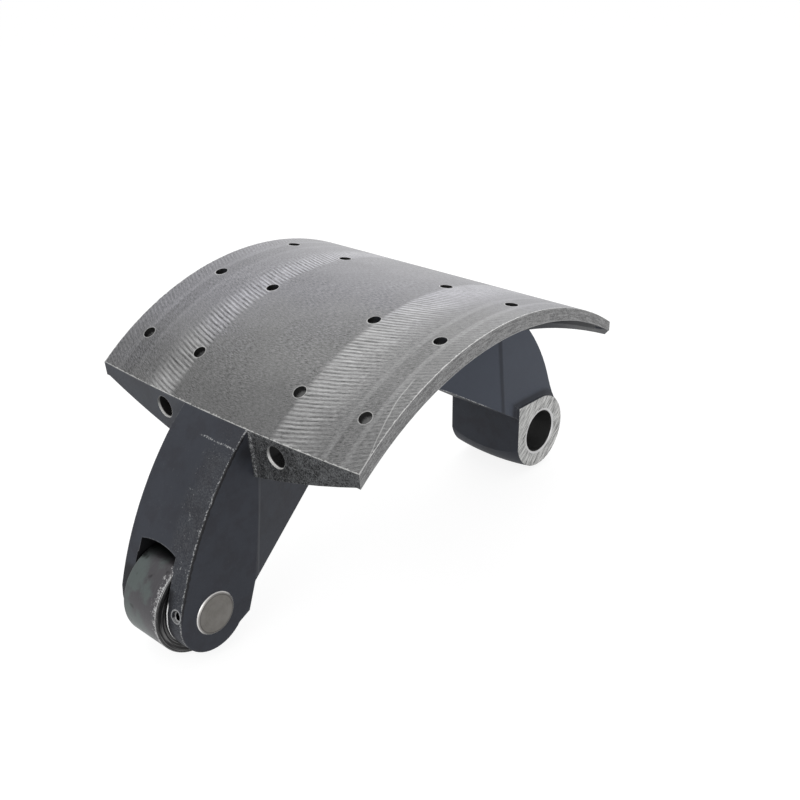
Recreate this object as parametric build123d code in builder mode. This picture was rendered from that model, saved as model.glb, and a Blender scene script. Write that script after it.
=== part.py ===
"""A bare brake shoe for a 410 mm drum: one casting, with its roller, pins and anchor bush.

Millimetres and degrees. The anchor bore is the origin and runs along Y. The roller lies
along -X at the same height, and Z is up, as the shoe stands on its roller and its boss.
Angles about the drum axis are counted from straight up, towards the anchor.
"""
from build123d import *
import os
from math import cos, degrees, radians, sin, tan

os.makedirs("parts", exist_ok=True)

# Between the axes, and the drum axis below them, a little towards the anchor
centre_distance = 303.0
drum_axis_shift = 5.4
drum_axis_drop = 38.8

# Table, part of a cylinder about the drum axis
table_radius = 187.5
table_width = 217.0
table_near_thickness = 7.0
table_middle_thickness = 9.2
table_far_thickness = 5.0
thickest_angle = -8.0
near_end_angle = -41.0
near_end_lean = 5.7
near_end_bow = 2.6
far_end_angle = 33.2

# Rivet holes, four rows of four
rivet_hole_radius = 3.9
rivet_angles = (-32.2, -12.7, 6.7, 26.1)
column_inset = 17.4
column_pitch = 48.5

# End walls, deepest beside the arms
wall_thickness = 8.0
wall_slope = 35.0
wall_corner = 3.0
wall_middle_inset = 38.5
near_wall_edge = 6.4
near_wall_corner = 8.6
near_wall_middle = 20.0
near_wall_root = 31.0
far_wall_edge = 5.5
far_wall_corner = 9.2
far_wall_middle = 14.0
far_wall_root = 30.0
spring_hole_radius = 6.8
spring_hole_clear = 21.0
spring_hole_depth = 11.0

# Arms and web
arm_width = 54.0
web_width = 12.0
waist_angle = 16.7
arch_peak_shift = 17.8
arch_peak_height = 121.2
arch_blend_radius = 90.0
arch_foot_z = 18.9
near_crease_lean = 8.2
far_crease_x = -39.6
far_crease_z = 27.8
far_crease_lean = 4.9

# Roller arm, its front following the drum and its foot a fork about the roller axis
brow_radius = 187.4
brow_angle = -46.0
front_radius = 185.8
front_angle = -60.0
front_foot_radius = 185.5
front_foot_angle = -76.0
ear_radius = 22.5
ear_forward = 1.0
ear_drop = 0.5
heel_angle = -40.0
ear_front_angle = 180.0
heel_reach = 24.0
heel_drop = 11.1
knee_reach = 29.7
knee_rise = 6.0
pocket_shift = 1.9
pocket_gap = 3.0
window_rise = 36.7
window_crown = 2.3
window_lip = 0.8

# Roller and its pins
roller_radius = 30.0
roller_width = 30.4
roller_side_gap = 0.9
roller_chamfer = 0.8
running_gap = 0.05
pin_radius = 12.9
pin_proud = 1.0
pin_chamfer = 1.0
lock_pin_radius = 3.5
lock_pin_wall = 1.1
lock_pin_slot = 1.2
lock_pin_inset = 4.7
lock_pin_angle = 18.0
lock_pin_bite = 5.5
lock_pin_recess = 0.7

# Anchor arm and its boss, with a pressed bush
back_top_radius = 180.1
back_radius = 145.8
back_foot_angle = 46.0
boss_radius = 27.3
boss_middle_radius = 29.5
boss_width = 62.0
boss_flat = 26.5
boss_blend = 12.0
blend_rings = 4
bore_radius = 16.0
bush_wall = 1.75
bush_chamfer = 0.5

overrun = 5.0

# Worked out from the sizes above
table_half = table_width / 2
arm_half = arm_width / 2
web_half = web_width / 2
boss_half = boss_width / 2
drum_axis_x = -centre_distance / 2 + drum_axis_shift
drum_axis_z = -drum_axis_drop
table_heart_radius = table_radius - table_far_thickness / 2
outer_column = table_half - column_inset
inner_column = outer_column - column_pitch
wall_middle_y = table_half - wall_middle_inset
spring_hole_y = arm_half + spring_hole_clear
arch_peak = (drum_axis_x + arch_peak_shift, drum_axis_z + arch_peak_height)
slot_half = roller_width / 2 + roller_side_gap
window_half = slot_half - window_lip
roller_axis = (-centre_distance, 0)
ear_centre = (-centre_distance - ear_forward, -ear_drop)
knee = (-centre_distance + knee_reach, knee_rise)
heel = (-centre_distance + heel_reach, -heel_drop)


def on_drum(radius, angle):
    """The point of the XZ plane at a radius and an angle about the drum axis."""
    return (drum_axis_x + radius * sin(radians(angle)), drum_axis_z + radius * cos(radians(angle)))


def around(centre, radius, angle):
    """The point of the XZ plane at a radius from a centre, its angle counted from +X."""
    return (centre[0] + radius * cos(radians(angle)), centre[1] + radius * sin(radians(angle)))


def end_wall(face, edge_depth, corner_depth, middle_depth, root_depth):
    """One end wall: shallow at the table's sides, deep at the arm, thinning away from its outer face."""
    with BuildPart() as wall:
        with BuildSketch(face) as outline:
            with BuildLine():
                corner_y = table_half - wall_corner
                Polyline((0, root_depth), (0, -wall_thickness), (table_half, -wall_thickness))
                Polyline((table_half, -wall_thickness), (table_half, edge_depth), (corner_y, corner_depth))
                ThreePointArc((corner_y, corner_depth), (wall_middle_y, middle_depth), (arm_half, root_depth))
                Line((arm_half, root_depth), (0, root_depth))
            make_face()
            mirror(about=Plane.YZ)
        extrude(amount=near_end_bow + overrun)
        extrude(outline.sketch, amount=-wall_thickness, taper=wall_slope)
        with BuildSketch(Plane.XZ):
            with Locations((drum_axis_x, drum_axis_z)):
                Circle(table_heart_radius)
        extrude(amount=table_half, both=True, mode=Mode.INTERSECT)
    return wall.part


def boss_outline(growth):
    """The boss seen along its bore, square at its inner top corner, grown outwards all round."""
    radius = boss_radius + growth
    flat = boss_flat + growth
    with BuildSketch() as outline:
        Circle(radius)
        with Locations((-flat, 0)):
            Rectangle(flat, radius, align=(Align.MIN, Align.MIN))
            Rectangle(radius, 2 * radius, align=(Align.MAX, Align.CENTER), mode=Mode.SUBTRACT)
    return outline.sketch


def waist_outline(z):
    """The plan of the hollow beside the web at one height, between the two creases."""
    near_x = knee[0] + (z - knee[1]) * tan(radians(near_crease_lean))
    far_x = far_crease_x - (z - far_crease_z) * tan(radians(far_crease_lean))
    run = (arm_half - web_half) / tan(radians(waist_angle))
    with BuildSketch() as outline:
        with BuildLine():
            Polyline(
                (near_x, -arm_half - overrun),
                (near_x, -arm_half),
                (near_x + run, -web_half),
                (far_x - run, -web_half),
                (far_x, -arm_half),
                (far_x, -arm_half - overrun),
                close=True,
            )
        make_face()
    return outline.sketch


# Planes at the table's two ends, each on its top edge
near_x, near_z = on_drum(table_radius, near_end_angle)
far_x, far_z = on_drum(table_radius, far_end_angle)
near_out = (-cos(radians(near_end_lean)), 0, -sin(radians(near_end_lean)))
near_up = (-sin(radians(near_end_lean)), 0, cos(radians(near_end_lean)))
near_face = Plane(origin=(near_x, 0, near_z), x_dir=(0, 1, 0), z_dir=near_out)
near_plan = Plane(origin=(near_x, 0, near_z), x_dir=(0, 1, 0), z_dir=near_up)
far_face = Plane(origin=(far_x, 0, far_z), x_dir=(0, -1, 0), z_dir=(1, 0, 0))
bow_angle = degrees(near_end_bow / table_radius)
far_slack_angle = degrees(table_far_thickness / table_radius)

# Table with its end walls, cut off upright at the far end and in a shallow bow at the near end
with BuildPart() as table:
    with BuildSketch(Plane.XZ):
        first_angle = near_end_angle - 2 * bow_angle
        last_angle = far_end_angle + far_slack_angle
        with BuildLine():
            Line(on_drum(table_radius - table_near_thickness, first_angle), on_drum(table_radius, first_angle))
            RadiusArc(on_drum(table_radius, first_angle), on_drum(table_radius, last_angle), table_radius)
            Line(on_drum(table_radius, last_angle), on_drum(table_radius - table_far_thickness, last_angle))
            ThreePointArc(
                on_drum(table_radius - table_far_thickness, last_angle),
                on_drum(table_radius - table_middle_thickness, thickest_angle),
                on_drum(table_radius - table_near_thickness, first_angle),
            )
        make_face()
    extrude(amount=table_half, both=True)
    add(end_wall(near_face, near_wall_edge, near_wall_corner, near_wall_middle, near_wall_root))
    add(end_wall(far_face, far_wall_edge, far_wall_corner, far_wall_middle, far_wall_root))
    with BuildSketch(near_plan):
        with BuildLine():
            ThreePointArc((-table_half, 0), (0, near_end_bow), (table_half, 0))
            Polyline(
                (table_half, 0),
                (table_half + overrun, 0),
                (table_half + overrun, table_radius),
                (-table_half - overrun, table_radius),
                (-table_half - overrun, 0),
                (-table_half, 0),
            )
        make_face()
    extrude(amount=table_radius, both=True, mode=Mode.SUBTRACT)
    with BuildSketch(far_face):
        Rectangle(table_width + overrun, table_radius)
    extrude(amount=table_radius, mode=Mode.SUBTRACT)

# Side view of the web and both arms, up into the table
with BuildSketch(Plane.XZ) as side_view:
    near_edge = on_drum(table_radius, near_end_angle - bow_angle)
    near_heart = on_drum(table_heart_radius, near_end_angle)
    far_heart = on_drum(table_heart_radius, far_end_angle)
    brow = on_drum(brow_radius, brow_angle)
    front_foot = on_drum(front_foot_radius, front_foot_angle)
    back_top = on_drum(back_top_radius, far_end_angle)
    back_foot = around((0, 0), boss_radius, back_foot_angle)
    with BuildLine():
        Polyline((-boss_flat, 0), (-boss_flat, arch_foot_z), arch_peak, knee, heel)
        Polyline(heel, around(ear_centre, ear_radius, heel_angle), ear_centre)
        Polyline(ear_centre, around(ear_centre, ear_radius, ear_front_angle), front_foot)
        ThreePointArc(front_foot, on_drum(front_radius, front_angle), brow)
        Polyline(brow, near_edge, near_heart)
        RadiusArc(near_heart, far_heart, table_heart_radius)
        Line(far_heart, back_top)
        RadiusArc(back_top, back_foot, back_radius)
        Polyline(back_foot, (0, 0), (-boss_flat, 0))
    make_face()
    with Locations(ear_centre):
        Circle(ear_radius)
    fillet(side_view.vertices().sort_by_distance((arch_peak[0], 0, arch_peak[1]))[0], arch_blend_radius)

# Hollow on one side of the web, its creases leaning together towards the table
with BuildPart() as hollow:
    with BuildSketch(Plane.XY.offset(-boss_middle_radius)):
        add(waist_outline(-boss_middle_radius))
    with BuildSketch(Plane.XY.offset(drum_axis_z + table_radius)):
        add(waist_outline(drum_axis_z + table_radius))
    loft(ruled=True)

# Boss, turned a little thicker in the middle than at its machined faces
with BuildPart() as boss:
    with BuildSketch(Plane.XY):
        with BuildLine():
            Polyline((boss_radius, -boss_half), (0, -boss_half), (0, boss_half), (boss_radius, boss_half))
            ThreePointArc((boss_radius, boss_half), (boss_middle_radius, 0), (boss_radius, -boss_half))
        make_face()
    revolve(axis=Axis.Y)
    with BuildSketch(Plane.YZ.offset(-boss_flat)):
        Rectangle(boss_width + overrun, 2 * boss_middle_radius + overrun)
    extrude(amount=-boss_middle_radius, mode=Mode.SUBTRACT)
    with BuildSketch(Plane.XZ):
        add(boss_outline(0))
    extrude(amount=boss_half, both=True)

# Hollow blend from one side of the arm out to the boss's face
with BuildPart() as blend:
    for ring in range(blend_rings + 1):
        turn = radians(ring * 90 / blend_rings)
        with BuildSketch(Plane.XZ.offset(boss_half - (boss_half - arm_half) * sin(turn))):
            add(boss_outline(boss_blend * (1 - cos(turn))))
    loft(ruled=True)
    extrude(side_view.sketch, amount=boss_half, mode=Mode.INTERSECT)

# The lock pin's line, from the roller axis out through the front of the thicker ear
lock_pin_plane = Plane(
    origin=(-centre_distance, -arm_half + lock_pin_inset, 0),
    x_dir=(0, 1, 0),
    z_dir=(-cos(radians(lock_pin_angle)), 0, sin(radians(lock_pin_angle))),
)

# Across the middle of the roller's pocket
pocket_middle = Plane(origin=(-centre_distance, pocket_shift, 0), x_dir=(0, 1, 0), z_dir=(1, 0, 0))

# The casting: arms and web, hollowed, under the table, then everything that is cut or drilled
with BuildPart() as shoe_casting:
    extrude(side_view.sketch, amount=arm_half, both=True)
    add(hollow.part, mode=Mode.SUBTRACT)
    add(hollow.part.mirror(Plane.XZ), mode=Mode.SUBTRACT)
    add(table.part)
    add(boss.part)
    add(blend.part)
    add(blend.part.mirror(Plane.XZ))
    with BuildSketch(Plane.XZ.offset(-pocket_shift)):
        with Locations(roller_axis):
            Circle(roller_radius + pocket_gap)
    extrude(amount=slot_half, both=True, mode=Mode.SUBTRACT)
    with BuildSketch(pocket_middle):
        with BuildLine():
            Polyline((-window_half, window_rise), (-window_half, 0), (window_half, 0), (window_half, window_rise))
            ThreePointArc((window_half, window_rise), (0, window_rise + window_crown), (-window_half, window_rise))
        make_face()
    extrude(amount=-(roller_radius + overrun), mode=Mode.SUBTRACT)
    with BuildSketch(Plane.XZ):
        Circle(bore_radius + bush_wall)
        with Locations(roller_axis):
            Circle(pin_radius)
    extrude(amount=table_half, both=True, mode=Mode.SUBTRACT)
    for angle in rivet_angles:
        rivet_x, rivet_z = on_drum(table_radius + overrun, angle)
        inward = (-sin(radians(angle)), 0, -cos(radians(angle)))
        with BuildSketch(Plane(origin=(rivet_x, 0, rivet_z), x_dir=(0, 1, 0), z_dir=inward)):
            with Locations((-outer_column, 0), (-inner_column, 0), (inner_column, 0), (outer_column, 0)):
                Circle(rivet_hole_radius)
        extrude(amount=table_middle_thickness + 2 * overrun, mode=Mode.SUBTRACT)
    with BuildSketch(near_face.offset(near_end_bow)):
        with Locations((-spring_hole_y, spring_hole_depth), (spring_hole_y, spring_hole_depth)):
            Circle(spring_hole_radius)
    extrude(amount=-(near_end_bow + wall_thickness + overrun), mode=Mode.SUBTRACT)
    with BuildSketch(lock_pin_plane):
        Circle(lock_pin_radius)
    extrude(amount=ear_radius + overrun, mode=Mode.SUBTRACT)

# Bush pressed into the boss
with BuildPart() as anchor_bush:
    with BuildSketch(Plane.XZ):
        Circle(bore_radius + bush_wall)
        Circle(bore_radius, mode=Mode.SUBTRACT)
    extrude(amount=boss_half, both=True)
    chamfer(anchor_bush.edges().filter_by(GeomType.CIRCLE).group_by(SortBy.RADIUS)[0], bush_chamfer)

# Roller, free to turn on its pin
with BuildPart() as roller:
    with BuildSketch(Plane.XZ.offset(-pocket_shift)):
        with Locations(roller_axis):
            Circle(roller_radius)
            Circle(pin_radius + running_gap, mode=Mode.SUBTRACT)
    extrude(amount=roller_width / 2, both=True)
    chamfer(roller.edges().filter_by(GeomType.CIRCLE), roller_chamfer)

# Pin through both ears, cross drilled for the lock pin
with BuildPart() as roller_pin:
    with BuildSketch(Plane.XZ):
        with Locations(roller_axis):
            Circle(pin_radius)
    extrude(amount=arm_half + pin_proud, both=True)
    chamfer(roller_pin.edges().filter_by(GeomType.CIRCLE), pin_chamfer)
    with BuildSketch(lock_pin_plane.offset(lock_pin_bite)):
        Circle(lock_pin_radius)
    extrude(amount=pin_radius, mode=Mode.SUBTRACT)

# Rolled spring pin that locks the roller pin in its ear
with BuildPart() as lock_pin:
    with BuildSketch(lock_pin_plane.offset(lock_pin_bite)):
        Circle(lock_pin_radius)
        Circle(lock_pin_radius - lock_pin_wall, mode=Mode.SUBTRACT)
        with Locations((0, -lock_pin_radius)):
            Rectangle(lock_pin_slot, 2 * lock_pin_radius, mode=Mode.SUBTRACT)
    extrude(amount=ear_radius - lock_pin_recess - lock_pin_bite)

shoe_casting.part.label = "shoe_casting"
anchor_bush.part.label = "anchor_bush"
roller.part.label = "roller"
roller_pin.part.label = "roller_pin"
lock_pin.part.label = "lock_pin"
export_step(shoe_casting.part, "parts/shoe_casting.step")
export_step(anchor_bush.part, "parts/anchor_bush.step")
export_step(roller.part, "parts/roller.step")
export_step(roller_pin.part, "parts/roller_pin.step")
export_step(lock_pin.part, "parts/lock_pin.step")
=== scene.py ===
# %% [markdown]
# # A bare brake shoe, from CAD solids to a studio picture
# The shoe is one iron casting with a bush, a roller, a pin and a small spring pin. The solids come
# in as a fixed frame, so their shapes and places are settled. What is left to make is what the eye
# reads first: the cutter's marks on the curved face, the grain of the cast skin under thin paint,
# the bare edges, and the light.

# %% Load the frame
import math

import bpy
import numpy as np
from mathutils import Matrix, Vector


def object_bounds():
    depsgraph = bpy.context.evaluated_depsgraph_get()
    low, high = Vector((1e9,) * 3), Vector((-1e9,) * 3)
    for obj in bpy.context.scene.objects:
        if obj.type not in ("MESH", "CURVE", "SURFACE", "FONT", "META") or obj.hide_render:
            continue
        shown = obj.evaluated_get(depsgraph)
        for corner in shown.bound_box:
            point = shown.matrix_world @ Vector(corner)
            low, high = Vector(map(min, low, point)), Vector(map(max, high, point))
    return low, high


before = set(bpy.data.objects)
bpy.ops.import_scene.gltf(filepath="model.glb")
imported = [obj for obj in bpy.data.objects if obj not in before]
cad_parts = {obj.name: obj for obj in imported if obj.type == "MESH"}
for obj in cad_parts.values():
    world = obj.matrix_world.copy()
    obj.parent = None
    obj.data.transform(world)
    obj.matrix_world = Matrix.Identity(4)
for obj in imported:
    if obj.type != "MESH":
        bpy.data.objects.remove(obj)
cad_box = [list(corner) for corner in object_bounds()]
print("pieces from the CAD:", sorted(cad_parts))
print("box in metres:", np.round(cad_box, 4).tolist())

# %% [markdown]
# ## The camera
# A camera is a place, a lens and three directions. It could be moved by hand until the picture
# looks right, but then no later comparison can be trusted. These numbers were found by matching the
# shoe's outline, its rivet holes and its bores with their places in the picture. The lens is given
# for a square picture, which is as wide as the sensor.

# %% Camera
camera_place = (-0.59723, -0.43399, 0.35789)
camera_right = (0.66975, -0.74254, -0.00769)
camera_up = (0.31786, 0.27732, 0.90667)
camera_back = np.cross(camera_right, camera_up)

camera_data = bpy.data.cameras.new("camera")
camera_data.sensor_width = 36.0
camera_data.lens = 48.38
camera_data.clip_start = 0.01
camera = bpy.data.objects.new("camera", camera_data)
turn = Matrix(np.column_stack([camera_right, camera_up, camera_back]).tolist()).to_4x4()
camera.matrix_world = Matrix.Translation(camera_place) @ turn
bpy.context.collection.objects.link(camera)
bpy.context.scene.camera = camera
print("camera looks down by", round(math.degrees(math.asin(camera_back[2])), 1), "degrees")

# %% [markdown]
# ## Writing materials as sums
# A material is a chain of nodes. It could be drawn in the node editor, but a script can't be read
# from there, and written out node by node it fills pages. So this small helper adds one node for
# each step and gives back its output, and a chain of steps then reads as a formula. Masks are
# numbers from nothing to one. They are multiplied where all of them must hold, and a colour is laid
# over another by a mask.

# %% A helper for chains of nodes
class Chain:
    """Adds nodes to one tree. Each call gives back the new node's output socket."""

    def __init__(self, tree):
        self.tree = tree

    def node(self, kind, settings=None, **inputs):
        made = self.tree.nodes.new("ShaderNode" + kind)
        for name, value in (settings or {}).items():
            setattr(made, name, value)
        for name, value in inputs.items():
            self.feed(made.inputs[name.replace("_", " ")], value)
        return made

    def feed(self, socket, value):
        if isinstance(value, bpy.types.NodeSocket):
            self.tree.links.new(value, socket)
        else:
            socket.default_value = value

    def math(self, operation, *values):
        made = self.node("Math", {"operation": operation})
        for socket, value in zip(made.inputs, values):
            self.feed(socket, value)
        return made.outputs[0]

    def fold(self, operation, values):
        """One operation over a row of values, from the first to the last."""
        result = values[0]
        for value in values[1:]:
            result = self.math(operation, result, value)
        return result

    def add(self, *values):
        return self.fold("ADD", values)

    def times(self, *values):
        return self.fold("MULTIPLY", values)

    def most(self, *masks):
        """The strongest of several masks at each point."""
        return self.fold("MAXIMUM", masks)

    def minus(self, value, less):
        return self.math("SUBTRACT", value, less)

    def scaled(self, value, factor, start):
        """The value times a factor, counted from a start."""
        return self.math("MULTIPLY_ADD", value, factor, start)

    def ramp(self, value, low, high, start=0.0, end=1.0):
        """Goes smoothly from start to end while the value goes from low to high."""
        made = self.node("MapRange", {"interpolation_type": "SMOOTHSTEP"})
        for socket, number in zip(made.inputs, (value, low, high, start, end)):
            self.feed(socket, number)
        return made.outputs[0]

    def band(self, value, middle, half, soft):
        """One within half of the middle, and nothing beyond a soft edge outside that."""
        away = self.math("ABSOLUTE", self.minus(value, middle))
        return self.ramp(away, half, half + soft, 1.0, 0.0)

    def mix(self, share, first, second):
        made = self.node("Mix", {"data_type": "RGBA"})
        for index, value in ((0, share), (6, first), (7, second)):
            self.feed(made.inputs[index], value)
        return made.outputs[2]

    def lay(self, colour, layers):
        """Lays other colours over one, in order, each by its mask."""
        for mask, over in layers:
            colour = self.mix(mask, colour, over)
        return colour

    def noise(self, vector, scale, detail, rough):
        made = self.node("TexNoise", Vector=vector, Scale=scale, Detail=detail, Roughness=rough)
        return made.outputs[0]

    def swing(self, noise):
        """How far a noise is to either side of its middle."""
        return self.minus(noise, 0.5)

    def waver(self, value, vector, scale, reach, detail=2.0, rough=0.5):
        """Moves a value to and fro by a noise, so that the line it draws isn't straight."""
        return self.scaled(self.swing(self.noise(vector, scale, detail, rough)), reach, value)

    def distance(self, across, along):
        """How far a point is from the middle, by its two coordinates."""
        return self.math("SQRT", self.scaled(across, across, self.times(along, along)))

    def split(self, vector):
        return self.node("SeparateXYZ", Vector=vector).outputs

    def join(self, x, y, z):
        return self.node("CombineXYZ", X=x, Y=y, Z=z).outputs[0]


print("a chain has", sum(not name.startswith("_") for name in vars(Chain)), "kinds of step")

# %% Helpers for groups, materials and colours
def new_group(name, inputs, outputs):
    """Starts a node group with named sockets, and gives its chain, its inputs and its end node."""
    tree = bpy.data.node_groups.new(name, "ShaderNodeTree")
    for title, value in inputs.items():
        kind = "NodeSocketVector" if value is None else "NodeSocketFloat"
        socket = tree.interface.new_socket(title, in_out="INPUT", socket_type=kind)
        if value is not None:
            socket.default_value = value
    for title in outputs:
        tree.interface.new_socket(title, in_out="OUTPUT", socket_type="NodeSocketFloat")
    chain = Chain(tree)
    return chain, tree.nodes.new("NodeGroupInput").outputs, tree.nodes.new("NodeGroupOutput").inputs


def use_group(chain, name, **inputs):
    """Places a node group in a material with its own values."""
    placed = chain.tree.nodes.new("ShaderNodeGroup")
    placed.node_tree = bpy.data.node_groups[name]
    for title, value in inputs.items():
        chain.feed(placed.inputs[title.replace("_", " ")], value)
    return placed.outputs


def new_material(name):
    """A material with its shader, and the chain and shader to work on."""
    material = bpy.data.materials.new(name)
    material.use_nodes = True
    shader = material.node_tree.nodes["Principled BSDF"]
    return material, Chain(material.node_tree), shader


def finish(node, material, chain, shader, colour, roughness, heights=None, depth=0.0):
    """Feeds the shader, gives the CAD piece its finish, and says so."""
    chain.feed(shader.inputs["Base Color"], colour)
    chain.feed(shader.inputs["Roughness"], roughness)
    if heights is not None:
        bump = chain.node("Bump", Height=heights, Distance=depth)
        chain.feed(shader.inputs["Normal"], bump.outputs[0])
    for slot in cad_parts[node].material_slots:
        slot.material = material
    print(node, "wears", material.name)


def rgb(red, green, blue):
    return (red, green, blue, 1.0)


def grey(level, warmth=0.0):
    """A grey, turned warm by a small positive number and cool by a negative one."""
    return rgb(level * (1.0 + warmth), level, level * (1.0 - warmth))


print("a warm grey is", grey(0.5, 0.1), "and a cool one", grey(0.5, -0.1))

# %% [markdown]
# ## Effects that several finishes share
# Sand leaves a skin of small pits. Handling rubs the corners bare. Tools leave long fine lines,
# and oil leaves cloudy patches. The nodes for these could be repeated in each material, but a
# change would then have to be made in all of them. So each effect is made once as a node group
# that puts out masks and heights, and each finish uses it at its own size and strength.

# %% Cast skin
# The grain is the size in metres of the finest bumps, and Coarse is how strongly pits show.
chain, given, result = new_group(
    "cast_skin", {"Vector": None, "Grain": 0.0016, "Coarse": 0.5}, ("Height", "Fleck", "Cloud")
)
per_metre = chain.math("DIVIDE", 1.0, given["Grain"])
fine = chain.noise(given["Vector"], per_metre, 4.0, 0.62)
lumps = chain.noise(given["Vector"], chain.times(per_metre, 0.28), 2.0, 0.5)
pits = chain.noise(given["Vector"], chain.times(per_metre, 1.4), 3.0, 0.7)
rough_part = chain.scaled(chain.ramp(pits, 0.4, 0.6), given["Coarse"], fine)
chain.feed(result["Height"], chain.scaled(lumps, 0.6, rough_part))
speck = chain.noise(given["Vector"], chain.times(per_metre, 1.3), 2.0, 0.5)
on_lumps = chain.ramp(lumps, 0.48, 0.62)
chain.feed(result["Fleck"], chain.times(chain.ramp(speck, 0.62, 0.7), on_lumps))
chain.feed(result["Cloud"], chain.noise(given["Vector"], 26.0, 3.0, 0.6))
print("group: cast_skin, with grains of about 1.6 mm")

# %% Worn edges
# A bevel node finds where the surface turns within a small radius. Where the rounded normal
# leaves the true one there is an edge, and noise breaks the edge into short rubbed lengths.
chain, given, result = new_group(
    "edge_wear", {"Vector": None, "Reach": 0.0008, "Breakup": 0.5}, ("Mask",)
)
rounded = chain.node("Bevel", {"samples": 6}, Radius=given["Reach"]).outputs[0]
true_normal = chain.node("NewGeometry").outputs["Normal"]
agreement = chain.node("VectorMath", {"operation": "DOT_PRODUCT"})
chain.feed(agreement.inputs[0], rounded)
chain.feed(agreement.inputs[1], true_normal)
turning = chain.ramp(agreement.outputs["Value"], 0.995, 0.9)
ragged = chain.noise(given["Vector"], 420.0, 3.0, 0.7)
kept = chain.minus(1.0, chain.times(given["Breakup"], chain.ramp(ragged, 0.58, 0.42)))
chain.feed(result["Mask"], chain.times(turning, kept))
print("group: edge_wear, which finds edges within 0.8 mm")

# %% Tool lines
# Long thin noise: the vector is squeezed along the way the tool went, so each grain of noise
# becomes a line.
chain, given, result = new_group(
    "tool_lines", {"Vector": None, "Spacing": 0.0006, "Length": 40.0}, ("Lines",)
)
along, across, out = chain.split(given["Vector"])
squeezed = chain.join(chain.math("DIVIDE", along, given["Length"]), across, out)
per_metre = chain.math("DIVIDE", 1.0, given["Spacing"])
chain.feed(result["Lines"], chain.noise(squeezed, per_metre, 3.0, 0.6))
print("group: tool_lines, with lines 0.6 mm apart")

# %% Oil and handling
chain, given, result = new_group("patina", {"Vector": None, "Patch": 0.03}, ("Cloud", "Stain"))
per_metre = chain.math("DIVIDE", 1.0, given["Patch"])
chain.feed(result["Cloud"], chain.noise(given["Vector"], per_metre, 5.0, 0.62))
drops = chain.noise(given["Vector"], chain.times(per_metre, 2.6), 2.0, 0.5)
chain.feed(result["Stain"], chain.ramp(drops, 0.62, 0.74))
print("group: patina, with patches of about 30 mm")

# %% Painted shade in gaps
# Where surfaces stand close together, as in the roller's pocket and in the corners beside the
# arms, the colour is darkened as painted shade. Ambient occlusion measures how shut in a point is
# within a reach.
chain, given, result = new_group(
    "gap_shade", {"Reach": 0.012, "Start": 0.75, "End": 0.3}, ("Mask",)
)
openness = chain.node("AmbientOcclusion", {"samples": 8}, Distance=given["Reach"]).outputs["AO"]
chain.feed(result["Mask"], chain.ramp(openness, given["Start"], given["End"]))
print("group: gap_shade, for gaps under 12 mm")

# %% [markdown]
# ## The casting's finish
# One casting carries several surfaces. Its curved outer face is turned bare, and its side edges
# and the boss's ends are machined too. The spring holes are drilled. All the rest keeps the skin
# that the sand left, under thin slate paint. Images could show this, but they need an unwrapped
# mesh and blur when the camera comes near. So one material tells the surfaces apart by where they
# are: by the distance from the drum's axis, from the middle plane and from each bore's axis. All
# lengths are in metres.

# %% The casting's main sizes
drum_axis = (-0.1461, 0.0, -0.0388)
table_radius = 0.1875
table_half = 0.1085
table_span = math.radians(74.0)
near_edge_arc = -0.13417
near_edge_bow = 0.0026
boss_half = 0.031
roller_axis_x = -0.303
roller_middle = 0.0019
lock_pin_y = -0.0223
lock_pin_tilt = math.radians(18.0)
spring_hole_place = (-0.26508, 0.048, 0.09205)
spring_hole_tilt = math.radians(5.7)
print("the table's near edge:", round(math.degrees(near_edge_arc / table_radius), 1), "degrees")

# %% Coordinates, straight and unrolled
# The curved face is unrolled: arc is the way along it, y the way across, and radius the depth.
casting, chain, shader = new_material("painted_casting")
coordinates = chain.node("TexCoord").outputs
place = coordinates["Object"]
x, y, z = chain.split(place)
normal_x, normal_y, normal_z = chain.split(coordinates["Normal"])
off_middle = chain.math("ABSOLUTE", y)
from_drum = chain.node("Mapping", Vector=place, Location=[-value for value in drum_axis])
drum_x, _, drum_z = chain.split(from_drum.outputs[0])
radius = chain.distance(drum_x, drum_z)
arc = chain.times(chain.math("ARCTAN2", drum_x, drum_z), table_radius)
unrolled = chain.join(arc, y, radius)
print("unrolled about the drum's axis at", drum_axis)

# %% Where the machined surfaces are
facing_drum = chain.add(chain.times(normal_x, drum_x), chain.times(normal_z, drum_z))
outward = chain.math("DIVIDE", facing_drum, radius)
sideways = chain.ramp(chain.math("ABSOLUTE", normal_y), 0.8, 0.9)
straight_on = chain.minus(1.0, sideways)
edge_bow = near_edge_bow / table_half**2
bow = chain.scaled(chain.times(y, y), edge_bow, near_edge_arc - near_edge_bow)
past_edge = chain.minus(arc, bow)
turned = chain.times(
    chain.ramp(outward, 0.6, 0.7),
    chain.ramp(radius, table_radius - 0.0013, table_radius - 0.0011),
    chain.ramp(past_edge, 0.0, 0.0002),
)
at_side = chain.ramp(off_middle, table_half - 0.0002, table_half - 0.0001)
side_edge = chain.times(at_side, sideways)
at_boss_end = chain.band(off_middle, boss_half, 0.0001, 0.0001)
boss_end = chain.times(at_boss_end, chain.ramp(x, -0.0325, -0.032), sideways)
print("machined: the curved face, its side edges and the boss's ends")

# %% [markdown]
# ### The turned face
# A cutter that chatters leaves ripples 2.78 mm apart. Cut into the mesh, they would change a CAD
# piece and take a great many faces, so a cosine draws them, in the tone and a little in the bump.
# They bend over the face as shallow arcs, so a ripple's phase is the distance along the face less
# 2.6 times the square of the distance off the middle, in metres. They are bright in two bands,
# sharp on the inside and fading out.

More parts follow.
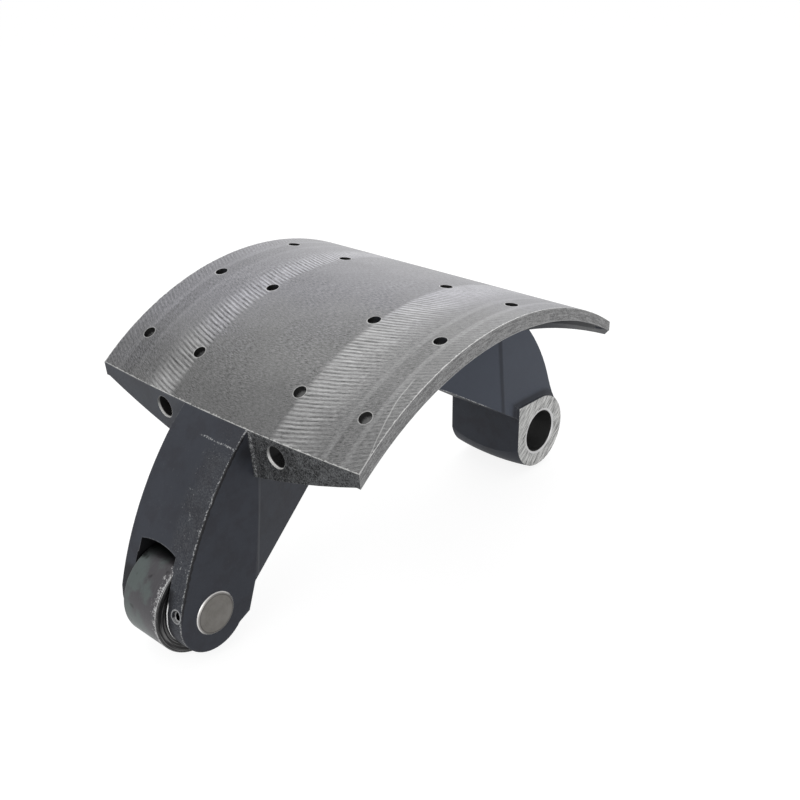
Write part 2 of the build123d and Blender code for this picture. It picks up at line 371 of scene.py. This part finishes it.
# %% Cutter ripples
ripple_pitch = 0.00278
ripple_bend = 2.6
ripple_middle = -0.0027
ripple_start = -3.88
off_ripple_middle = chain.minus(y, ripple_middle)
sag = chain.times(off_ripple_middle, off_ripple_middle, ripple_bend)
along_ripples = chain.minus(arc, sag)
turns = chain.waver(along_ripples, unrolled, 160.0, 0.0006)
ripple = chain.math("COSINE", chain.scaled(turns, math.tau / ripple_pitch, ripple_start))
ripple_lines = chain.noise(chain.join(along_ripples, chain.times(y, 0.06), 0.0), 1100.0, 3.0, 0.7)
print("ripples:", round(table_span * table_radius / ripple_pitch), "along the face")

# %% The two bright bands
band_place = chain.waver(y, unrolled, 150.0, 0.003, 3.0, 0.6)
left_rise = chain.ramp(band_place, 0.0385, 0.0435)
left_band = chain.times(left_rise, chain.ramp(band_place, 0.0525, 0.068, 1.0, 0.0))
right_rise = chain.ramp(band_place, -0.0435, -0.0475)
right_band = chain.times(right_rise, chain.ramp(band_place, -0.0585, -0.085, 1.0, 0.0))
outer_strips = chain.ramp(off_middle, 0.095, 0.1)
rippled = chain.scaled(outer_strips, 0.25, chain.add(left_band, right_band))
rippled = chain.add(rippled, 0.03)
print("bands start about 41 mm left and 45 mm right of the middle")

# %% [markdown]
# ### Bare iron
# Bare turned iron looks like grey cloth, with a fine grain, short strokes along the cut, clouds
# where oil has dried, and narrow strips that single passes of the tool left. A tiled image would
# show the same cloud again and again. A sum of masks gives each of these its own size and
# strength, never repeats, and stays sharp from near.

# %% Lighter and darker across the face
# Each mask adds its strength to the tone. A strip is given by its middle, half its width, how
# soft it is and its strength.
grain = chain.noise(unrolled, 1500.0, 2.0, 0.7)
clouds = use_group(chain, "patina", Vector=unrolled, Patch=0.03)
stroke_vector = chain.join(along_ripples, chain.times(y, 0.22), 0.0)
strokes = chain.swing(chain.noise(stroke_vector, 1500.0, 3.0, 0.75))
worn_patch = chain.noise(unrolled, 28.0, 2.0, 0.6)
near_end = chain.ramp(arc, -0.11, -0.134)
strips = (
    (0.0935, 0.0012, 0.0012, 0.14),
    (0.0793, 0.0006, 0.0014, 0.1),
    (-0.083, 0.0012, 0.0012, 0.18),
    (-0.0966, 0.001, 0.0012, 0.24),
    (0.0865, 0.0045, 0.001, -0.1),
    (-0.0902, 0.0045, 0.001, -0.1),
)
tone_steps = [
    (chain.swing(clouds["Cloud"]), 0.5),
    (chain.swing(grain), 1.1),
    (left_band, chain.scaled(near_end, 0.45, 0.42)),
    (right_band, 0.68),
    (chain.ramp(y, -0.05, -0.1), 0.22),
    (chain.times(rippled, ripple), 0.55),
    (chain.times(rippled, chain.swing(ripple_lines)), 3.4),
    (chain.times(strokes, chain.ramp(worn_patch, 0.35, 0.65, 0.7, 1.4)), 2.4),
]
tone_steps += [(chain.band(y, *strip), strength) for *strip, strength in strips]
tone = 1.0
for mask, strength in tone_steps:
    tone = chain.scaled(mask, strength, tone)
print("tone is the sum of", len(tone_steps), "steps across the face")

# %% [markdown]
# ### Rivet holes, burrs and a scratch
# Drilling leaves a thin light rim about each hole. Sixteen masks could draw sixteen rims, but the
# rows are evenly spaced, so one rim, repeated along the arc and across, is the rim of them all.
# The same distance finds the holes' walls, painted black as shade at the mouth and painted lighter
# further in, where light comes through from below. Where the cutter leaves the iron it tears up a
# bright burr, and a noise gives the burr its ragged width.

# %% Rivet holes
hole_first_arc = math.radians(-32.2) * table_radius
hole_row_pitch = math.radians(19.433) * table_radius
hole_column_first = 0.0426
hole_column_pitch = 0.0485
hole_radius = 0.0039


def from_nearest(value, first, pitch):
    """How far a value is from the nearest of a row of evenly spaced places."""
    return chain.math("WRAP", chain.minus(value, first), pitch / 2, -pitch / 2)


from_hole = chain.distance(
    from_nearest(arc, hole_first_arc, hole_row_pitch),
    from_nearest(off_middle, hole_column_first, hole_column_pitch),
)
by_columns = chain.ramp(off_middle, 0.03, 0.035)
at_rim = chain.ramp(from_hole, hole_radius + 0.0007, hole_radius + 0.0002)
rim = chain.times(at_rim, by_columns, 0.55)
rivet_wall = chain.times(
    chain.ramp(from_hole, hole_radius + 0.0003, hole_radius + 0.0001),
    by_columns,
    chain.ramp(outward, 0.5, 0.3),
    chain.ramp(arc, -0.137, -0.136),
)
wall_depth = chain.scaled(grain, 0.003, chain.minus(table_radius, radius))
painted_wall_shading = chain.mix(chain.ramp(wall_depth, 0.0045, 0.0075), grey(0.004), grey(0.3))
print("hole rows are", round(hole_row_pitch * 1000, 1), "mm apart along the face")

# %% Burr and scratch
# The burr follows the near and side edges, and one long scratch runs in from the right corner.
burr_width = chain.scaled(chain.noise(unrolled, 500.0, 3.0, 0.7), 0.0032, -0.001)
near_burr = chain.math("LESS_THAN", past_edge, burr_width)
side_reach = chain.add(off_middle, chain.times(burr_width, 0.8))
side_burr = chain.math("GREATER_THAN", side_reach, table_half)
scratch_place = chain.waver(chain.ramp(arc, -0.134, -0.08, -0.1085, -0.1), unrolled, 90.0, 0.0016)
scratch_line = chain.band(y, scratch_place, 0.0001, 0.0005)
scratch = chain.times(scratch_line, chain.ramp(arc, -0.07, -0.08), 0.5)
bright = chain.most(near_burr, side_burr, rim, scratch)
print("bright: two burrs, the hole rims and a scratch")

# %% Colour of the turned face
# The iron is neutral at the near right and a little cooler towards the far left.
tint_place = chain.scaled(worn_patch, 0.08, chain.scaled(y, 0.6, arc))
iron = chain.mix(chain.ramp(tint_place, -0.06, 0.03), grey(0.1365), rgb(0.1345, 0.134, 0.144))
bare_iron = chain.mix(tone, grey(0.0), iron)
bare_iron.node.clamp_factor = False
bare_iron = chain.mix(chain.times(bright, 0.6), bare_iron, rgb(0.6, 0.6, 0.59))
print("the tone may pass one, so its mix isn't clamped:", bare_iron.node.name)

# %% [markdown]
# ### Paint over cast skin
# The paint is thin, so it shows the grain of the sand that the iron was cast in. The grains are
# about a millimetre, too small to be worth displacing a mesh for, so they are a bump and a change
# of colour. The grain is coarse on the end wall beside the arm and on that side of the arm's
# front, and fine elsewhere.

# %% Slate paint
coarse_edge = chain.waver(y, place, 70.0, 0.018, 3.0, 0.6)
beside_arm = chain.ramp(y, -0.0268, -0.0275)
under_brow = chain.scaled(chain.ramp(arc, -0.149, -0.158), 0.17, 0.06)
coarse_side = chain.times(
    chain.ramp(coarse_edge, -0.002, -0.016),
    chain.ramp(x, -0.25, -0.262),
    straight_on,
    chain.most(under_brow, beside_arm),
)
skin = use_group(chain, "cast_skin", Vector=place, Grain=0.0016, Coarse=coarse_side)
patches = use_group(chain, "patina", Vector=place, Patch=0.014)
patchy = chain.ramp(patches["Cloud"], 0.42, 0.62, 0.0, 0.4)
slate = chain.mix(skin["Cloud"], rgb(0.024, 0.027, 0.035), rgb(0.036, 0.04, 0.052))
slate = chain.mix(patchy, slate, rgb(0.018, 0.017, 0.022))
print("slate paint, with darker patches of about 14 mm")

# %% Sandy side
# Where the skin is coarse the paint has worn to dark and light grains, lighter to the right.
sand = chain.waver(chain.noise(place, 1000.0, 4.0, 0.8), place, 160.0, 0.22, 2.0, 0.6)
sand = chain.add(sand, chain.ramp(y, -0.05, -0.1, 0.0, 0.05))
sandy = chain.mix(chain.ramp(sand, 0.42, 0.62), rgb(0.009, 0.009, 0.01), rgb(0.15, 0.155, 0.16))
fleck_share = chain.scaled(chain.ramp(coarse_side, 0.0, 0.2), 0.8, 0.05)
flecks = chain.times(skin["Fleck"], fleck_share)
print("grains of about 1 mm on the sandy side")

# %% [markdown]
# ### Seams and scale
# Where the halves of the mould met, and where corners rub, the paint lets light scale through in
# short dashes. Drawn as a plain line it would look like chalk, so each is a narrow band that
# wavers and that a noise breaks up. The front of the roller arm follows the drum, so its edge is
# given by a radius that changes with the angle. Just behind that edge a groove is painted in as a
# dark line of shade, and the brow, where the arm's front bends under the table, gets broken
# painted highlights.

# %% The roller arm's front edge
from_foot = chain.scaled(arc, 1.0 / table_radius, math.radians(76.0))
front_radius = chain.scaled(from_foot, chain.scaled(from_foot, 0.01046, -0.001845), 0.1855)
behind_front = chain.minus(front_radius, radius)
groove_place = chain.waver(behind_front, place, 380.0, 0.0022, 2.0, 0.6)
# The groove is painted in as a dark line of shade.
groove_shade = chain.times(
    chain.band(groove_place, 0.0006, 0.0006, 0.0004),
    chain.ramp(arc, -0.137, -0.142),
    chain.ramp(arc, -0.256, -0.24),
    chain.ramp(y, -0.024, -0.026),
    chain.ramp(y, -0.0262, -0.0266),
)
print("groove: 0.6 mm behind the arm's front")

# %% Scale and painted highlights in light broken lines
# Scale follows the arm's right corner and the corner of the wall beside it. The brow across the
# arm gets painted highlights, glints in the same broken line.
corner_place = chain.waver(y, place, 500.0, 0.003, 2.0, 0.6)
corner = chain.times(
    chain.ramp(corner_place, -0.0253, -0.0262),
    chain.ramp(x, -0.266, -0.269),
    straight_on,
    chain.ramp(y, -0.0275, -0.0272),
)
wall_corner = chain.times(
    chain.ramp(corner_place, -0.031, -0.0295),
    chain.ramp(y, -0.0269, -0.0271),
    chain.ramp(x, -0.262, -0.264),
    chain.ramp(z, 0.07, 0.075),
    straight_on,
)
brow_place = chain.waver(arc, place, 130.0, 0.003)
brow = chain.times(
    chain.band(brow_place, -0.1492, 0.0002, 0.0006),
    chain.ramp(y, 0.004, 0.0),
    chain.ramp(y, -0.0271, -0.0268),
    straight_on,
    chain.ramp(x, -0.25, -0.255),
)
broken = chain.ramp(chain.noise(place, 900.0, 2.0, 0.7), 0.47, 0.58)
scale = chain.times(chain.most(corner, wall_corner, brow), broken, 0.9)
print("scale: two corners and a brow")

# %% [markdown]
# ### Marks that are there once
# The thicker ear's inner edge gets a painted highlight with painted shade beside it, one corner
# gets painted shade, and two places are lighter. These could be painted on by hand. A mask made of
# a few distances looks the same, needs no image, and says in metres where the mark is.

# %% Painted highlight and shade of the thicker ear
# The ear's inner edge gets a thin white painted highlight, and its front beside it painted shade.
ear_x = -0.304
ear_z = -0.0005
from_ear = chain.distance(chain.minus(x, ear_x), chain.minus(z, ear_z))
ear_front = chain.ramp(x, -0.315, -0.316)
ear_edge_highlight = chain.times(
    chain.band(y, -0.01465, 0.0004, 0.0003),
    chain.ramp(from_ear, 0.0215, 0.022),
    ear_front,
    chain.ramp(z, 0.013, 0.009),
)
ear_shade = chain.times(
    chain.ramp(y, -0.0205, -0.015),
    chain.ramp(from_ear, 0.0205, 0.021),
    ear_front,
    chain.ramp(z, 0.022, 0.018),
    0.75,
)
print("the ear's edge is bright from its foot up to 9 mm over the pin")

# %% Painted shade in a corner, and lighter places
# The corner between the arm's side and the wall is darkened as painted shade. The table's inner
# face is lighter towards its far right, and so is the near wall on the left of the arm.
from_corner_shade = chain.distance(chain.add(x, 0.273), chain.minus(z, 0.088))
from_corner_shade = chain.scaled(chain.noise(place, 120.0, 3.0, 0.6), 0.012, from_corner_shade)
corner_shade = chain.times(
    chain.ramp(from_corner_shade, 0.016, 0.008), sideways, chain.ramp(y, 0.0, -0.01), 0.6
)
far_inside = chain.times(
    chain.ramp(outward, -0.3, -0.5),
    chain.ramp(x, -0.1, -0.07),
    chain.ramp(z, 0.07, 0.08),
    chain.ramp(off_middle, 0.068, 0.09, 0.4, 1.0),
)
left_wall = chain.times(
    chain.ramp(y, 0.0268, 0.0275), chain.ramp(x, -0.25, -0.262), straight_on, 0.16
)
print("smudge: full within 8 mm of its middle, and gone at 16 mm")

# %% [markdown]
# ### Creases, edges and hollows
# Rubbed edges are lighter, creases get painted highlights and painted shade, and hollows get
# painted shade. Vertex colours could hold it, but the flat faces of a CAD mesh have too few points.
# A bevel node finds the edges and ambient occlusion the hollows, however the mesh is cut, and the
# two creases are given by a line in the side view.

# %% Creases in the sides
# Both arms have a crease where the web's hollow ends. Seen from the side it leans a little. The
# roller arm's crease gets a painted highlight. The anchor arm's gets painted shade, and its side
# about it a bluer tint with painted light.
def past_line(slope, start):
    """How far a point is past a leaning line in the side view."""
    return chain.add(x, chain.scaled(z, slope, start))


arm_crease_highlight = chain.times(
    chain.band(past_line(-0.083, 0.2707), 0.0, 0.0003, 0.001),
    chain.ramp(z, 0.0, 0.01),
    sideways,
    chain.ramp(normal_y, 0.0, -0.1),
    0.12,
)
past_crease = past_line(0.1126, 0.036)
over_anchor = chain.ramp(x, -0.125, -0.115)
anchor_side = chain.times(
    over_anchor,
    chain.ramp(z, 0.018, 0.024),
    chain.ramp(normal_z, 0.6, 0.4),
    chain.ramp(off_middle, 0.0285, 0.0275),
)
anchor_tint_and_light = chain.times(anchor_side, chain.ramp(past_crease, -0.001, 0.006, 0.7, 0.68))
anchor_crease_shade = chain.times(anchor_side, chain.band(past_crease, -0.001, 0.0005, 0.002), 0.5)
print("creases: one on each arm, on both sides of the web")

# %% Rubbed edges, a painted highlight on the foot, and painted shade under the arch
# Edges are rubbed a little all over. Along the foot of the anchor arm's side the edge gets a bright
# painted highlight. Under the arch, where it faces down, the paint is darkened as painted shade,
# and its edges aren't rubbed there.
facing_down = chain.ramp(normal_z, -0.3, -0.5)
by_arch = chain.times(over_anchor, chain.ramp(x, -0.03, -0.034), chain.ramp(z, 0.075, 0.07))
under_arch_shade = chain.times(facing_down, by_arch)
foot_highlight = chain.times(by_arch, chain.ramp(x, -0.05, -0.056))
rub = use_group(chain, "edge_wear", Vector=place, Reach=0.0011, Breakup=0.85)
rubbed = chain.times(rub["Mask"], chain.scaled(foot_highlight, 0.9, 0.3), chain.minus(1.0, under_arch_shade))
rub_colour = chain.mix(foot_highlight, rgb(0.27, 0.275, 0.28), grey(0.75))
print("edges are rubbed within 1.1 mm")

# %% Painted shade in gaps and in the roller's pocket, and the lock pin's rim
# The pocket's inside is painted black as shade. It ends at its own side walls and behind the arm's
# front.
def off_lock_pin(chain, x, y, z):
    """How far a point is from the lock pin's axis, which leans up towards the front."""
    level = chain.times(chain.minus(x, roller_axis_x), math.sin(lock_pin_tilt))
    across = chain.add(level, chain.times(z, math.cos(lock_pin_tilt)))
    return chain.distance(chain.minus(y, lock_pin_y), across)


painted_gap_shade = use_group(chain, "gap_shade", Reach=0.014, Start=0.62, End=0.2)
from_roller = chain.distance(chain.minus(x, roller_axis_x), z)
pocket_shade = chain.times(
    chain.band(y, roller_middle, 0.01615, 0.0002),
    chain.ramp(from_roller, 0.046, 0.045),
    chain.most(sideways, chain.ramp(behind_front, 0.001, 0.0025)),
)
# The rim of the lock pin's hole gets a thin light line, a painted highlight.
rim_line = chain.band(off_lock_pin(chain, x, y, z), 0.0038, 0.0002, 0.0004)
lock_rim_highlight = chain.times(rim_line, chain.ramp(x, -0.31, -0.312), straight_on, 0.7)
print("pocket: within 46 mm of the roller's axis")

# %% Lay the marks over the paint, in order
# Each mark covers those before it: the coarse grain first, then scale and glints, painted shade
# and light, and rubbed edges, then the painted shade of gaps, the groove and the pocket, and last
# the lock pin's rim highlight.
scale_and_glint_grey = rgb(0.42, 0.425, 0.43)
paint_layers = (
    (coarse_side, sandy),
    (flecks, rgb(0.24, 0.245, 0.25)),
    (scale, scale_and_glint_grey),
    (corner_shade, rgb(0.008, 0.008, 0.009)),
    (far_inside, rgb(0.13, 0.132, 0.136)),
    (left_wall, rgb(0.12, 0.126, 0.135)),
    (ear_shade, rgb(0.006, 0.006, 0.007)),
    (ear_edge_highlight, grey(1.0)),
    (arm_crease_highlight, rgb(0.27, 0.275, 0.28)),
    (anchor_tint_and_light, rgb(0.084, 0.096, 0.124)),
    (anchor_crease_shade, rgb(0.01, 0.01, 0.012)),
    (rubbed, rub_colour),
    (chain.times(under_arch_shade, 0.8), rgb(0.004, 0.004, 0.005)),
    (chain.times(groove_shade, 0.9), rgb(0.003, 0.003, 0.004)),
    (chain.times(painted_gap_shade["Mask"], 0.85), rgb(0.006, 0.006, 0.007)),
    (pocket_shade, rgb(0.004, 0.004, 0.005)),
    (lock_rim_highlight, scale_and_glint_grey),
)
paint = chain.lay(slate, paint_layers)
print("marks laid over the paint:", len(paint_layers))

# %% [markdown]
# ### Drilled and ground faces
# The spring holes are drilled, the boss's ends brushed and the table's side edges ground, so all
# of them are bare. Materials of their own would need the faces picked by number, which a new pack
# of the solids can change. Their places don't change, so masks part them here too.

# %% Drilled spring holes
# Each hole's mouth is bright for a few millimetres, partly bare metal and partly a painted
# highlight, most on its lower side, and further in it is painted dark as shade. Depth is counted
# along the hole, from the middle of the wall.
mouths = 0.0
hole_depth_shade = 0.0
mouth_highlight = 0.0
hole_x, hole_y, hole_z = spring_hole_place
for side in (1.0, -1.0):
    centred = chain.node("Mapping", {"vector_type": "TEXTURE"}, Vector=place)
    centred.inputs["Location"].default_value = (hole_x, side * hole_y, hole_z)
    centred.inputs["Rotation"].default_value = (0.0, -spring_hole_tilt, 0.0)
    depth, across, height = chain.split(centred.outputs[0])
    inside = chain.ramp(chain.distance(across, height), 0.00695, 0.00683)
    inside = chain.times(inside, chain.ramp(x, -0.24, -0.245))
    mouths = chain.scaled(inside, chain.ramp(depth, -0.0029, -0.004), mouths)
    mouth_highlight = chain.scaled(inside, chain.ramp(height, 0.003, -0.0045), mouth_highlight)
    hole_depth_shade = chain.scaled(inside, chain.ramp(depth, -0.004, -0.0029), hole_depth_shade)
mouth_colour = chain.mix(mouth_highlight, grey(0.3), rgb(1.0, 1.0, 0.98))
print("spring holes:", hole_y * 1000, "mm to each side of the middle")

# %% Boss ends and side edges
# The boss's ends are brushed slantwise. The side edges are ground, in short strokes along them.
brushed = chain.join(chain.add(x, z), chain.minus(x, z), y)
brush = use_group(chain, "tool_lines", Vector=brushed, Spacing=0.0008, Length=14.0)
boss_colour = chain.mix(chain.ramp(brush["Lines"], 0.34, 0.62), grey(0.1), rgb(0.6, 0.6, 0.59))
ground = chain.join(arc, radius, y)
side_lines = use_group(chain, "tool_lines", Vector=ground, Spacing=0.0009, Length=6.0)
side_tone = chain.scaled(grain, 0.5, chain.times(side_lines["Lines"], 0.5))
side_colour = chain.mix(chain.ramp(side_tone, 0.37, 0.63), rgb(0.12, 0.12, 0.122), grey(0.3))
side_rub = use_group(chain, "edge_wear", Vector=place, Reach=0.0009, Breakup=0.3)
side_colour = chain.mix(chain.times(side_rub["Mask"], 0.6), side_colour, grey(0.5))
print("brushed boss ends and ground side edges")

# %% Put the casting's surfaces together
machined = chain.most(turned, side_edge, boss_end, mouths)
surfaces = (
    (turned, bare_iron),
    (side_edge, side_colour),
    (boss_end, boss_colour),
    (mouths, mouth_colour),
    (hole_depth_shade, grey(0.006)),
    (rivet_wall, painted_wall_shading),
)
colour = chain.lay(paint, surfaces)
metal = chain.scaled(mouths, -0.7, chain.times(machined, 0.9))
chain.feed(shader.inputs["Metallic"], metal)
shader.inputs["Specular IOR Level"].default_value = 0.25
skin_depth = chain.scaled(coarse_side, 0.5, 0.07)
skin_height = chain.times(skin["Height"], chain.minus(1.0, machined), skin_depth)
ripple_depth = chain.scaled(ripple, 0.03, chain.times(ripple_lines, 0.05))
ripple_height = chain.times(ripple_depth, rippled, turned)
grain_height = chain.scaled(chain.times(grain, machined), 0.02, ripple_height)
height = chain.add(skin_height, grain_height)
roughness = chain.scaled(machined, -0.15, 0.6)
finish("shoe_casting", casting, chain, shader, colour, roughness, height, 0.001)

# %% [markdown]
# ## Bush, roller and pins
# These are turned, so their lines run round an axis. The shader's anisotropy can stretch a
# highlight that way, but it shows no single line. A point's place round the axis is its angle
# times its radius, and lines drawn in that unrolled frame follow the turning.

# %% The frame that turned steel shares
def turned_steel(name, centre):
    """Starts a finish about an axis along Y.

    Gives the material, its chain and its shader, the place, and the unrolled frame: the way
    round, the way along the axis and the radius.
    """
    material, chain, shader = new_material(name)
    place = chain.node("TexCoord").outputs["Object"]
    centred = chain.node("Mapping", Vector=place, Location=[-value for value in centre])
    x, along, z = chain.split(centred.outputs[0])
    radius = chain.distance(x, z)
    around = chain.times(chain.math("ARCTAN2", x, z), radius)
    shader.inputs["Metallic"].default_value = 0.9
    return material, chain, shader, place, (around, along, radius)


print("materials in use so far:", [item.name for item in bpy.data.materials if item.users])

# %% Bush
# Only the end ring is bright. Further in, the bore is painted dark as shade.
material, chain, shader, place, rolled = turned_steel("bush_steel", (0.0, 0.0, 0.0))
lines = use_group(chain, "tool_lines", Vector=chain.join(*rolled), Spacing=0.0005, Length=40.0)
ring = chain.mix(lines["Lines"], grey(0.35), grey(0.75))
shaded_bore = chain.mix(lines["Lines"], grey(0.08), grey(0.16))
from_middle = chain.math("ABSOLUTE", rolled[1])
depth = chain.ramp(from_middle, boss_half - 0.0005, boss_half - 0.0008)
colour = chain.mix(depth, ring, shaded_bore)
roughness = chain.scaled(lines["Lines"], 0.2, 0.35)
finish("anchor_bush", material, chain, shader, colour, roughness, lines["Lines"], 0.00004)

# %% [markdown]
# ### The roller
# The roller is hardened steel, blued by heat and dulled by oil, and one of its rims is scored. One
# dark grey would do from far off, but near by the eye sees two hues and the broken bright rim. So
# the hue drifts across the width with the clouds, and the scratches are tool lines turned to run
# across, cut off at a depth that changes round the roller.

# %% Roller steel
# The cloudy patches turn from green to brown across the roller.
roller_half = 0.0152
roller_centre = (roller_axis_x, roller_middle, 0.0)
material, chain, shader, place, rolled = turned_steel("roller_steel", roller_centre)
around, along, radius = rolled
rolled = chain.join(*rolled)
clouds = use_group(chain, "patina", Vector=place, Patch=0.016)
lines = use_group(chain, "tool_lines", Vector=rolled, Spacing=0.0004, Length=50.0)
hue = chain.scaled(chain.minus(along, roller_middle), 9.0, clouds["Cloud"])
blued = chain.mix(chain.ramp(hue, 0.42, 0.6), rgb(0.06, 0.057, 0.063), rgb(0.084, 0.102, 0.099))
print("roller:", roller_half * 2000, "mm wide")

# %% Roller rim, sides and painted shade
# Short scratches run in from the right rim. The side, close to the ear, is painted dark as shade,
# with faint rings, and the colour is darkened as painted shade where the roller sits in its pocket.
from_rim = chain.add(along, roller_half)
scratched = chain.join(along, around, 0.0)
strokes = use_group(chain, "tool_lines", Vector=scratched, Spacing=0.0005, Length=5.0)
reach = chain.times(chain.ramp(chain.noise(rolled, 260.0, 4.0, 0.8), 0.38, 0.66), 0.0065)
within_reach = chain.ramp(chain.minus(from_rim, reach), 0.0004, -0.0012)
scored = chain.times(within_reach, chain.ramp(strokes["Lines"], 0.45, 0.56))
at_rim = chain.band(from_rim, 0.0008, 0.0002, 0.0003)
rim_line = chain.times(at_rim, chain.ramp(strokes["Lines"], 0.35, 0.5))
scored = chain.times(chain.most(scored, rim_line), chain.ramp(radius, 0.029, 0.0295))
rub = use_group(chain, "edge_wear", Vector=place, Reach=0.0008, Breakup=0.5)
roller_side_shade = chain.ramp(from_rim, 0.0008, 0.0006)
rings = chain.noise(chain.join(radius, chain.times(around, 0.03), 0.0), 1100.0, 2.0, 0.6)
on_side = chain.times(chain.ramp(from_rim, 0.0006, 0.0002), chain.ramp(rings, 0.5, 0.62))
painted_gap_shade = use_group(chain, "gap_shade", Reach=0.02, Start=0.6, End=0.2)
roller_layers = (
    (chain.times(lines["Lines"], 0.25), grey(0.2)),
    (chain.times(clouds["Stain"], 0.6), grey(0.02)),
    (chain.times(scored, 0.8), grey(0.55)),
    (chain.times(rub["Mask"], 0.5), grey(0.4)),
    (chain.times(roller_side_shade, 0.8), grey(0.015)),
    (chain.times(on_side, 0.4), grey(0.35)),
    (chain.times(painted_gap_shade["Mask"], 0.95), grey(0.004)),
)
colour = chain.lay(blued, roller_layers)
roughness = chain.scaled(clouds["Cloud"], 0.2, 0.32)
finish("roller", material, chain, shader, colour, roughness, lines["Lines"], 0.00004)

# %% [markdown]
# ### The pins
# The roller pin's end is faced on a lathe and chamfered. The lock pin is rolled from strip, so its
# end is a thin ring about a bore. Both are small in the picture. A few rings by radius are all that
# the eye can tell there, so no more is spent on them.

# %% Roller pin
# The end is faced and dulled, with a thin dark line at its edge, and the chamfer is bright.
pin_edge = 0.0119
pin_centre = (roller_axis_x, 0.0, 0.0)
material, chain, shader, place, rolled = turned_steel("pin_steel", pin_centre)
radius = rolled[2]
clouds = use_group(chain, "patina", Vector=place, Patch=0.009)
lines = use_group(chain, "tool_lines", Vector=chain.join(*rolled), Spacing=0.0006, Length=30.0)
cloudy = chain.ramp(clouds["Cloud"], 0.3, 0.7)
faced = chain.mix(cloudy, rgb(0.125, 0.118, 0.107), rgb(0.165, 0.157, 0.146))
border = chain.band(radius, pin_edge - 0.0005, 0.0001, 0.0003)
chamfer = chain.ramp(radius, pin_edge - 0.0002, pin_edge + 0.0001)
outer_half = chain.ramp(radius, pin_edge + 0.0003, pin_edge + 0.0007)
pin_layers = (
    (chain.times(lines["Lines"], 0.2), grey(0.3, 0.03)),
    (chain.times(border, 0.6), grey(0.04, 0.03)),
    (chamfer, chain.mix(outer_half, grey(0.22, 0.04), grey(0.6, 0.02))),
)
colour = chain.lay(faced, pin_layers)
roughness = chain.scaled(chamfer, -0.15, 0.48)
finish("roller_pin", material, chain, shader, colour, roughness, lines["Lines"], 0.00005)

# %% Lock pin
# The rolled pin's end is a bright ring, and its bore is painted black as shade.
material, chain, shader = new_material("spring_steel")
shader.inputs["Metallic"].default_value = 0.9
place = chain.node("TexCoord").outputs["Object"]
clouds = use_group(chain, "patina", Vector=place, Patch=0.004)
rub = use_group(chain, "edge_wear", Vector=place, Reach=0.0008, Breakup=0.2)
colour = chain.mix(chain.ramp(clouds["Cloud"], 0.35, 0.6), grey(0.3), grey(0.95))
off_axis = off_lock_pin(chain, *chain.split(place))
pin_end_layers = (
    (chain.times(rub["Mask"], 0.6), grey(0.5)),
    (chain.ramp(off_axis, 0.00255, 0.0024), grey(0.003)),
)
colour = chain.lay(colour, pin_end_layers)
finish("lock_pin", material, chain, shader, colour, chain.scaled(clouds["Cloud"], 0.2, 0.35))

# %% [markdown]
# ## Floor and light
# The shoe stands on a pale floor in an even white room. A white backdrop alone would leave it
# floating, and a room lit only by lamps would turn the bare iron black where it mirrors a wall. So
# what the camera and the metal see of the room is white, and what lights the paint is dimmer. A
# large soft lamp behind and above draws the sheen along the curved face, a low one beside it
# carries the light on, and two in front and to the side open the shadows.

# %% Floor
def seen_share(chain):
    """One for what the camera and the metal see, and nothing for what lights the paint."""
    rays = chain.node("LightPath").outputs
    return chain.most(*[rays[f"Is {kind} Ray"] for kind in ("Camera", "Glossy", "Transmission")])


floor_height = cad_box[0][2]
floor_reach = 6.0
corners = np.array([(-1, -1), (1, -1), (1, 1), (-1, 1)]) * floor_reach
points = np.column_stack([corners, np.full(4, floor_height)])
floor_mesh = bpy.data.meshes.new("floor")
floor_mesh.from_pydata(points.tolist(), [], [(0, 1, 2, 3)])
floor = bpy.data.objects.new("floor", floor_mesh)
bpy.context.collection.objects.link(floor)

floor_paint, chain, shader = new_material("floor_paint")
seen = seen_share(chain)
chain.feed(shader.inputs["Base Color"], chain.mix(seen, grey(0.8), grey(0.28)))
chain.feed(shader.inputs["Emission Strength"], chain.times(seen, 0.86))
shader.inputs["Roughness"].default_value = 1.0
shader.inputs["Specular IOR Level"].default_value = 0.0
shader.inputs["Emission Color"].default_value = grey(1.0)
floor_mesh.materials.append(floor_paint)
print("floor at", round(floor_height * 1000, 2), "mm")

# %% Room and lamps
world = bpy.data.worlds.new("white_room")
world.use_nodes = True
bpy.context.scene.world = world
chain = Chain(world.node_tree)
background = world.node_tree.nodes["Background"]
background.inputs["Color"].default_value = grey(1.0)
chain.feed(background.inputs["Strength"], chain.ramp(seen_share(chain), 0.0, 1.0, 0.5, 1.0))


def soft_lamp(name, place, target, size, power):
    """A square lamp of the given size in metres, turned to look at the target."""
    data = bpy.data.lights.new(name, "AREA")
    data.size = size
    data.energy = power
    lamp = bpy.data.objects.new(name, data)
    lamp.visible_camera = False
    back = np.subtract(place, target) / np.linalg.norm(np.subtract(place, target))
    right = np.cross((0.0, 0.0, 1.0), back)
    right /= np.linalg.norm(right)
    turn = Matrix(np.column_stack([right, np.cross(back, right), back]).tolist()).to_4x4()
    lamp.matrix_world = Matrix.Translation(place) @ turn
    bpy.context.collection.objects.link(lamp)


middle = (-0.15, 0.0, 0.05)
soft_lamp("back_lamp", (0.6, 1.2, 1.4), middle, 2.2, 16.0)
soft_lamp("low_back_lamp", (1.5, 1.2, 0.35), middle, 1.2, 3.0)
soft_lamp("front_lamp", (-1.6, -0.3, 1.0), middle, 1.2, 7.0)
soft_lamp("side_lamp", (-1.2, -1.6, 0.45), middle, 1.4, 9.0)
bpy.context.scene.view_settings.view_transform = "Standard"
